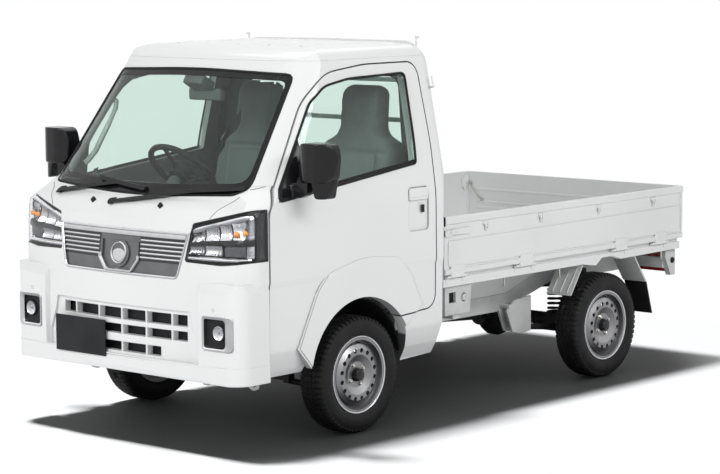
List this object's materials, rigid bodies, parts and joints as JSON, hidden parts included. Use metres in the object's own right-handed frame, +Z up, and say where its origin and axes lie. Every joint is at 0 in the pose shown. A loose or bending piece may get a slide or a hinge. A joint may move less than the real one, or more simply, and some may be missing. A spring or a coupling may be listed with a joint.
{
  "type": "kei truck",
  "caption": "Small cab-over light truck with a hinged-door two-seat cab, steering and turning wheels, and a flat load bed with drop sides and tailgate.",
  "frame": {"origin": "on the ground, at the middle of the truck's length and width", "axes": "+Z up, +X towards the truck's left side, the truck faces -Y"},
  "size_m": [1.8684, 3.395, 1.78],
  "materials": {
    "white_paint": "gloss",
    "glass": "polished",
    "silver": "satin",
    "lamp_clear": "clear",
    "chrome": "polished",
    "dark_plastic": "satin",
    "black_plastic": "matte",
    "grey_plastic": "matte",
    "seat_cloth": "woven",
    "black_steel": "satin",
    "cast": "rough",
    "bare_steel": "satin",
    "black_rubber": "matte",
    "lamp_red": "clear",
    "tyre": "matte"
  },
  "bodies": {
    "truck": {"cab_body": "white_paint", "cab_roof": "white_paint", "nose_panel": "white_paint", "cab_glass": "glass", "front_bumper": "white_paint", "front_grille": "silver", "headlamps": "lamp_clear", "fog_lamps": "chrome", "number_plate": "dark_plastic", "wipers": "black_plastic", "dashboard": "grey_plastic", "seat_cushions": "seat_cloth", "seat_backs": "seat_cloth", "wheelhouses": "black_plastic", "chassis_frame": "white_paint", "load_bed": "white_paint", "guard_frame": "white_paint", "front_suspension": "black_steel", "rear_axle": "black_steel", "rear_suspension": "black_steel", "engine": "cast", "driveline": "cast", "fuel_tank": "black_steel", "exhaust": "bare_steel", "rear_mudguards": "white_paint", "mud_flaps": "black_rubber", "tail_lamps": "lamp_red", "spare_tyre": "tyre", "spare_rim": "silver"},
    "door_left": {"door_left": "white_paint", "door_glass_left": "glass", "mirror_left": "black_plastic"},
    "door_right": {"door_right": "white_paint", "door_glass_right": "glass", "mirror_right": "black_plastic"},
    "gate_left": {"gate_left": "white_paint"},
    "gate_right": {"gate_right": "white_paint"},
    "tailgate": {"tailgate": "white_paint"},
    "steering_wheel": {"steering_wheel": "black_plastic"},
    "knuckle_left": {"knuckle_left": "black_steel"},
    "knuckle_right": {"knuckle_right": "black_steel"},
    "wheel_front_left": {"rim_front_left": "silver", "tyre_front_left": "tyre"},
    "wheel_front_right": {"rim_front_right": "silver", "tyre_front_right": "tyre"},
    "wheel_rear_left": {"rim_rear_left": "silver", "tyre_rear_left": "tyre"},
    "wheel_rear_right": {"rim_rear_right": "silver", "tyre_rear_right": "tyre"}
  },
  "joints": [
    {"name": "door_left_open", "type": "hinge", "parent": "truck", "child": "door_left", "pos_m": [0.727, -1.452, 0.9], "axis": [0, 0, -1], "range_deg": [0, 65]},
    {"name": "door_right_open", "type": "hinge", "parent": "truck", "child": "door_right", "pos_m": [-0.727, -1.452, 0.9], "axis": [0, 0, 1], "range_deg": [0, 65]},
    {"name": "gate_left_drop", "type": "hinge", "parent": "truck", "child": "gate_left", "pos_m": [0.731, 0.7, 0.65], "axis": [0, 1, 0], "range_deg": [0, 165]},
    {"name": "gate_right_drop", "type": "hinge", "parent": "truck", "child": "gate_right", "pos_m": [-0.731, 0.7, 0.65], "axis": [0, -1, 0], "range_deg": [0, 165]},
    {"name": "tailgate_drop", "type": "hinge", "parent": "truck", "child": "tailgate", "pos_m": [0, 1.691, 0.65], "axis": [-1, 0, 0], "range_deg": [0, 165]},
    {"name": "steer_left", "type": "hinge", "parent": "truck", "child": "knuckle_left", "pos_m": [0.6, -0.875, 0.19], "axis": [-0.2207, 0, 0.9753], "range_deg": [-33, 33]},
    {"name": "steer_right", "type": "hinge", "parent": "truck", "child": "knuckle_right", "pos_m": [-0.6, -0.875, 0.19], "axis": [0.2207, 0, 0.9753], "range_deg": [-33, 33]},
    {"name": "steering_wheel_turn", "type": "hinge", "parent": "truck", "child": "steering_wheel", "pos_m": [-0.34, -0.945, 1.146], "axis": [0, 0.7001, 0.7141], "range_deg": [-529, 529]},
    {"name": "spin_front_left", "type": "hinge", "parent": "knuckle_left", "child": "wheel_front_left", "pos_m": [0.6525, -0.875, 0.268], "axis": [1, 0, 0], "continuous": true},
    {"name": "spin_front_right", "type": "hinge", "parent": "knuckle_right", "child": "wheel_front_right", "pos_m": [-0.6525, -0.875, 0.268], "axis": [1, 0, 0], "continuous": true},
    {"name": "spin_rear_left", "type": "hinge", "parent": "truck", "child": "wheel_rear_left", "pos_m": [0.65, 1.025, 0.268], "axis": [1, 0, 0], "continuous": true},
    {"name": "spin_rear_right", "type": "hinge", "parent": "truck", "child": "wheel_rear_right", "pos_m": [-0.65, 1.025, 0.268], "axis": [1, 0, 0], "continuous": true}
  ],
  "couplings": [
    {"joint": "steer_right", "follows": "steer_left", "ratio": 1},
    {"joint": "steering_wheel_turn", "follows": "steer_left", "ratio": 16}
  ]
}
